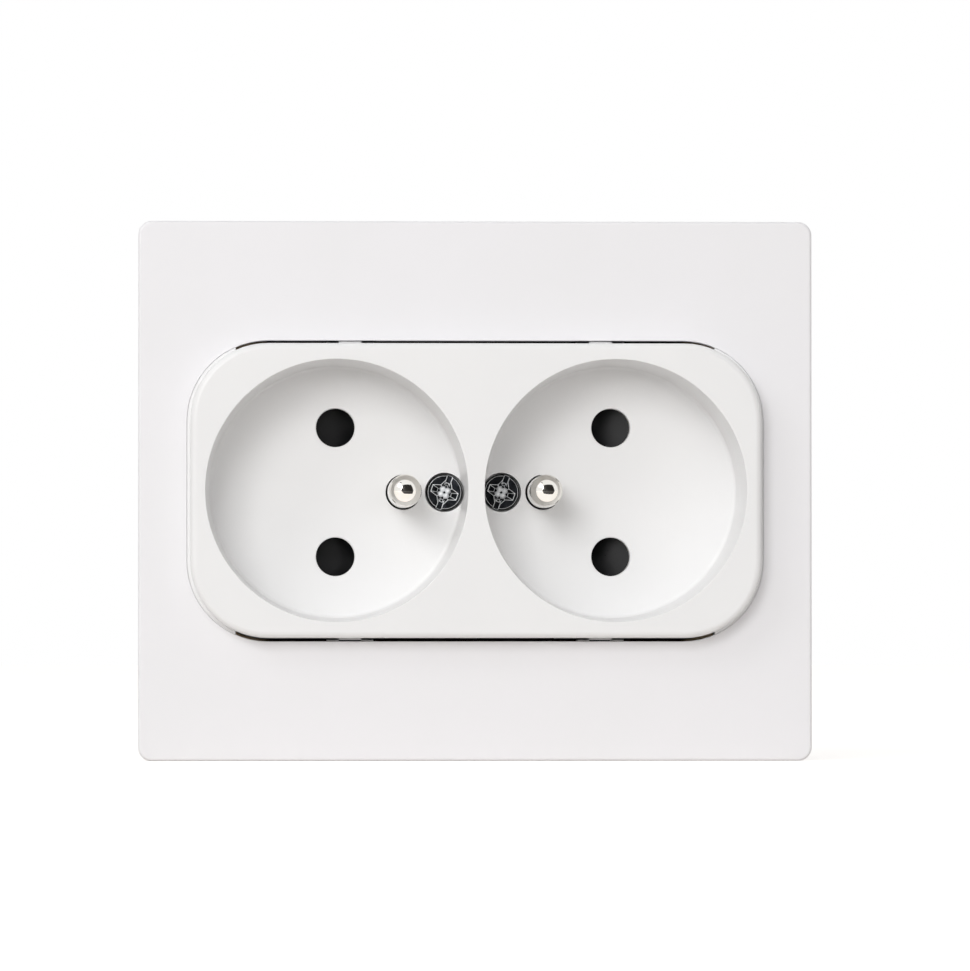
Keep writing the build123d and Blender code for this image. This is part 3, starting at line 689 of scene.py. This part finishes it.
# cover screws, with a slot and a star in the head
coverScrews = {"headRadius": 2.65, "neckRadius": 2.45, "neckDrop": 0.25, "slopeDrop": 0.9, "headLow": 29.0,
               "headTop": 31.6, "shankRadius": 1.5, "shankTip": 0.3, "slotHalf": 3.5, "slotWidth": 0.8,
               "slotDepth": 0.8, "slotTurn": 70, "armReach": 1.95, "armHalves": (0.3, 0.5), "waist": 0.85,
               "bottomShare": 0.55, "recessDepth": 1.4, "lobeRadius": 0.46, "lobePlace": 0.42,
               "lobeRise": 0.35, "edgeWidth": 0.17}


def starLoop(share, depth, u):
    # the four-armed recess as a ring of twelve points
    look = coverScrews
    arm, waist = look["armReach"] * share, look["waist"] * share
    ring = []
    for quarter in range(4):
        a = math.radians(look["slotTurn"] + 90 * quarter)
        half = look["armHalves"][quarter % 2] * share
        for x, y in ((arm, -half), (arm, half), (waist, waist)):
            turnedX, turnedY = x * math.cos(a) - y * math.sin(a), x * math.sin(a) + y * math.cos(a)
            ring.append(spotAt(u + turnedX, turnedY, depth))
    return ring


def paintedHighlightBead(u, quarter):
    # one of the four near-white beads at the bottom of the recess: a painted highlight
    look = coverScrews
    a = math.radians(look["slotTurn"] + 45 + 90 * quarter)
    reach, radius = look["lobePlace"] * math.sqrt(2), look["lobeRadius"]
    level = look["headTop"] - look["recessDepth"] + look["lobeRise"]
    profile = arcSteps((0, level), radius, -89, 89, 12)
    lobe = turned("lobe", profile, u + reach * math.cos(a), reach * math.sin(a), steps=24)
    lobe.data.materials.append(finishes["dark_screw"])
    lobe.data.materials.append(edgeWearAndHighlight)
    lobe.data.polygons.foreach_set("material_index", [1] * len(lobe.data.polygons))
    return lobe


def makeCoverScrew(name):
    look = coverScrews
    low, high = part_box(name)
    u = (low.x + high.x) / 2 / mm
    tail, top = -high.y / mm, look["headTop"]
    radius, neck, shank, tip = look["headRadius"], look["neckRadius"], look["shankRadius"], look["shankTip"]
    shape = [(shank - tip, tail), (shank, tail + tip), (shank, look["headLow"]), (radius, look["headLow"]),
             (radius, top - look["slopeDrop"]), (neck, top - look["neckDrop"]), (neck, top)]
    screw = turned(name + "Turned", shape, u, 0, steps=80)
    a = math.radians(look["slotTurn"])
    along, across = Vector((math.cos(a), math.sin(a))), Vector((-math.sin(a), math.cos(a)))
    corners = [along * x * look["slotHalf"] + across * y * look["slotWidth"] / 2
               for x, y in ((-1, -1), (1, -1), (1, 1), (-1, 1))]
    slot = loftRings("slot", [[spotAt(u + c.x, c.y, depth) for c in corners]
                              for depth in (top - look["slotDepth"], top + over)])
    bottom = top - look["recessDepth"]
    share = look["bottomShare"]
    star = loftRings("star", [starLoop(share, bottom, u), starLoop(1.0, top, u),
                              starLoop(1.0 + over * (1.0 - share) / look["recessDepth"], top + over, u)])
    cutAway(screw, slot, star)
    screw.data.materials.clear()
    screw.data.materials.append(finishes["dark_screw"])
    screw.data.materials.append(edgeWearAndHighlight)
    # the bevelled edges take the near-white finish: edge wear and a painted highlight
    softenEdges(screw, look["edgeWidth"], angle=32, bright=1)
    # four near-white beads in the recess: a painted highlight
    joinOn(screw, *[paintedHighlightBead(u, quarter) for quarter in range(4)])
    return settle(screw, base, name)


for name in ("left_cover_screw", "right_cover_screw"):
    makeCoverScrew(name)
print("cover screws cut")

# shutters and the springs that push them shut
shutters = {"rampBase": 0.7, "rampLength": 5.8, "blockHeight": 7.4, "pegRadius": 0.8,
            "pegLength": 1.0, "pegTip": 0.2, "pegSink": 0.5, "pegSteps": 32, "edge": 0.18}
springs = {"radius": 1.35, "wire": 0.4, "turns": 6, "deadTurns": 0.8, "deadPitch": 1.02, "gap": 0.15,
           "packed": 3.2, "sides": 10, "stepsPerTurn": 28}


def makeShutter(name, side):
    look = shutters
    rampEnd = rampStart + look["rampLength"]
    ramp = [(rampStart, shutterLow), (shutterEnd, shutterLow), (shutterEnd, shutterHigh),
            (rampEnd, shutterHigh), (rampStart, shutterLow + look["rampBase"])]
    blocks = []
    for end in sides:
        spans = (end * contactV - look["blockHeight"] / 2, end * contactV + look["blockHeight"] / 2)
        blocks.append(loftRings("rampBlock", [[spotAt(side * x, v, depth) for x, depth in ramp]
                                              for v in spans]))
    slider = blockOf(name + "Moulding", (side * rampEnd, side * shutterEnd), (-contactV, contactV),
                     (shutterLow, shutterHigh))
    joinOn(slider, *blocks)
    softenEdges(slider, look["edge"])
    middle = (shutterLow + shutterHigh) / 2
    rings = []
    wide, long, tip = look["pegRadius"], look["pegLength"], look["pegTip"]
    turns = [2 * math.pi * i / look["pegSteps"] for i in range(look["pegSteps"])]
    for radius, reach in ((wide, -look["pegSink"]), (wide, long - tip), (wide - tip, long)):
        rings.append([spotAt(side * (shutterEnd + reach), radius * math.sin(a), middle + radius * math.cos(a))
                      for a in turns])
    joinOn(slider, loftRings("peg", rings))
    return settle(slider, ("left_slider", "right_slider")[side > 0], name)


def coilPlace(turn, start, end):
    # how far along its axis the wire is: the last turns at both ends lie close together
    look = springs
    pitch, dead = look["wire"] * look["deadPitch"], look["deadTurns"]
    openPitch = (end - start - 2 * pitch * dead) / (look["turns"] - 2 * dead)
    first = min(turn, dead)
    between = min(max(turn - dead, 0), look["turns"] - 2 * dead)
    last = max(turn - look["turns"] + dead, 0)
    return start + (first + last) * pitch + between * openPitch


def makeSpring(name, side):
    look = springs
    inset = look["gap"] + look["wire"] / 2
    middle = (shutterLow + shutterHigh) / 2
    steps = int(look["turns"] * look["stepsPerTurn"])
    axisPoints, points = [], []
    for i in range(steps + 1):
        turn = look["turns"] * i / steps
        x = side * coilPlace(turn, shutterEnd + inset, springStop - inset)
        a = 2 * math.pi * turn
        axisPoints.append(spotAt(x, 0, middle))
        points.append(spotAt(x, look["radius"] * math.cos(a), middle + look["radius"] * math.sin(a)))
    rings = []
    for i, point in enumerate(points):
        ahead = (points[min(i + 1, steps)] - points[max(i - 1, 0)]).normalized()
        across = ahead.cross(point - axisPoints[i]).normalized()
        out = across.cross(ahead).normalized()
        rings.append([point + (out * math.cos(a) + across * math.sin(a)) * (look["wire"] / 2 * mm)
                      for a in (2 * math.pi * k / look["sides"] for k in range(look["sides"]))])
    coil = settle(loftRings(name + "Coil", rings), base, name, flats=False, crease=60)
    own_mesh(coil)
    return coil


for name, side in (("left", -1), ("right", 1)):
    makeShutter(name + "_shutter", side)
    makeSpring(name + "_shutter_spring", side)
print("shutters and springs made")

# stage, light and camera
floorLevel = cadBounds[0].z
stage = {"floorSize": 6.0, "floorColour": (0.72, 0.68, 0.64), "roughness": 0.9, "lift": 0.65}


def whiteFloor():
    # its own glow only shows to the camera and in reflections, so it lights nothing
    half = stage["floorSize"] / 2
    mesh = bpy.data.meshes.new("studioFloor")
    corners = [(x * half, y * half, floorLevel) for x, y in ((-1, -1), (1, -1), (1, 1), (-1, 1))]
    mesh.from_pydata(corners, [], [(0, 1, 2, 3)])
    floor = newPiece("studioFloor", mesh)
    f = Finish("floorWhite")
    camera = f.add("ShaderNodeLightPath", {}, {}, "Is Camera Ray")
    glossy = f.add("ShaderNodeLightPath", {}, {}, "Is Glossy Ray")
    through = f.add("ShaderNodeLightPath", {}, {}, "Is Transmission Ray")
    glow = f.blendOf(camera + glossy + through, black, (stage["lift"],) * 3)
    f.shade(Base_Color=stage["floorColour"], Roughness=stage["roughness"], Emission_Color=glow,
            Emission_Strength=1.0)
    floor.data.materials.append(f.material)


whiteFloor()

# the world lights diffuse surfaces with a soft share, and is plain white where it is seen
sky = {"ambient": 0.405, "seen": 1.0}
world = bpy.data.worlds.new("studioWhite")
bpy.context.scene.world = world
world.use_nodes = True
skyNodes = world.node_tree.nodes
skyLinks = world.node_tree.links
air = skyNodes["Background"]
air.inputs["Color"].default_value = (*white, 1.0)
path = skyNodes.new("ShaderNodeLightPath")
seen = path.outputs["Is Camera Ray"]
for ray in ("Is Glossy Ray", "Is Transmission Ray"):
    either = skyNodes.new("ShaderNodeMath")
    either.operation = "MAXIMUM"
    skyLinks.new(seen, either.inputs[0])
    skyLinks.new(path.outputs[ray], either.inputs[1])
    seen = either.outputs[0]
amount = skyNodes.new("ShaderNodeMapRange")
amount.inputs["To Min"].default_value = sky["ambient"]
amount.inputs["To Max"].default_value = sky["seen"]
skyLinks.new(seen, amount.inputs["Value"])
skyLinks.new(amount.outputs[0], air.inputs["Strength"])

middle = Vector((0.0, -plateFront * mm, 0.0))


def around(azimuth, elevation, distance):
    a, e = math.radians(azimuth), math.radians(elevation)
    return middle + distance * Vector((math.sin(a) * math.cos(e), -math.cos(a) * math.cos(e), math.sin(e)))


def aim(holder, target):
    holder.rotation_euler = (target - holder.location).to_track_quat("-Z", "Y").to_euler()


lamps = {
    "softBox": {"azimuth": -17, "elevation": 17, "distance": 2.2, "size": 0.9, "watts": 18.5},
    "windowLamp": {"azimuth": -50, "elevation": 34, "distance": 2.2, "size": 0.8, "watts": 7.0},
    "fillLamp": {"azimuth": 10, "elevation": -2, "distance": 2.2, "size": 1.2, "watts": 10.0},
}
for name, lamp in lamps.items():
    light = bpy.data.lights.new(name, "AREA")
    light.shape = "SQUARE"
    light.size = lamp["size"]
    light.energy = lamp["watts"]
    holder = newPiece(name, light)
    holder.location = around(lamp["azimuth"], lamp["elevation"], lamp["distance"])
    aim(holder, middle)

# the dark side of the studio, which only reflections show: a cloth behind the camera that runs on along the
# floor, and the boom that holds the soft box. Corners are azimuth, elevation and distance.
cards = {
    "roomCard": ((-29, -2, 1.3), (58, -2, 1.6), (50, 37, 1.9), (-20, 40, 1.6)),
    "floorCloth": ((-29, None, 1.3), (58, None, 1.6), (50, None, 0.11), (-16, None, 0.11)),
    "boomCard": ((-58, 53, 1.1), (-42, 50, 1.1), (-44, 57, 1.1), (-60, 58, 1.1)),
}
clothLook = {"colour": (0.02, 0.018, 0.017), "secondColour": (0.05, 0.045, 0.042), "weaveScale": 0.4,
             "weaveDetail": 2.0, "roughness": 0.9, "lift": 0.6}
darkCloth = Finish("darkCloth")
weave = darkCloth.noise(darkCloth.where(), clothLook["weaveScale"], clothLook["weaveDetail"])
darkCloth.shade(Base_Color=darkCloth.blendOf(weave, clothLook["colour"], clothLook["secondColour"]),
                Roughness=clothLook["roughness"])
for name, corners in cards.items():
    points = [around(azimuth, elevation or 0.0, distance) for azimuth, elevation, distance in corners]
    if name == "floorCloth":
        points = [Vector((p.x, p.y, floorLevel + clothLook["lift"] * mm)) for p in points]
    mesh = bpy.data.meshes.new(name)
    mesh.from_pydata(points, [], [(0, 1, 2, 3)])
    board = newPiece(name, mesh)
    board.data.materials.append(darkCloth.material)
    for ray in ("visible_camera", "visible_diffuse", "visible_transmission", "visible_shadow"):
        setattr(board, ray, False)

# the camera stands a little left of and below the middle
view = {"azimuth": -2.0, "elevation": -1.06, "distance": 1.1, "pixelsPerMm": 6.85,
        "frameWidth": 970, "frameHeight": 971, "middleAcross": 475.5, "middleDown": 491.0, "sensor": 36.0,
        "nearest": 0.01, "farthest": 20.0}
camera = bpy.data.cameras.new("studioCamera")
camera.sensor_fit = "HORIZONTAL"
camera.sensor_width = view["sensor"]
camera.lens = view["pixelsPerMm"] * view["distance"] / mm / view["frameWidth"] * view["sensor"]
camera.clip_start = view["nearest"]
camera.clip_end = view["farthest"]
holder = newPiece("studioCamera", camera)
holder.location = around(view["azimuth"], view["elevation"], view["distance"])
aside = (view["frameWidth"] / 2 - view["middleAcross"]) / view["pixelsPerMm"] * mm
above = (view["middleDown"] - view["frameHeight"] / 2) / view["pixelsPerMm"] * mm
aim(holder, middle + Vector((aside, 0.0, above)))
bpy.context.scene.camera = holder
bpy.context.scene.view_settings.view_transform = "Standard"
print("stage, lamps and camera ready")
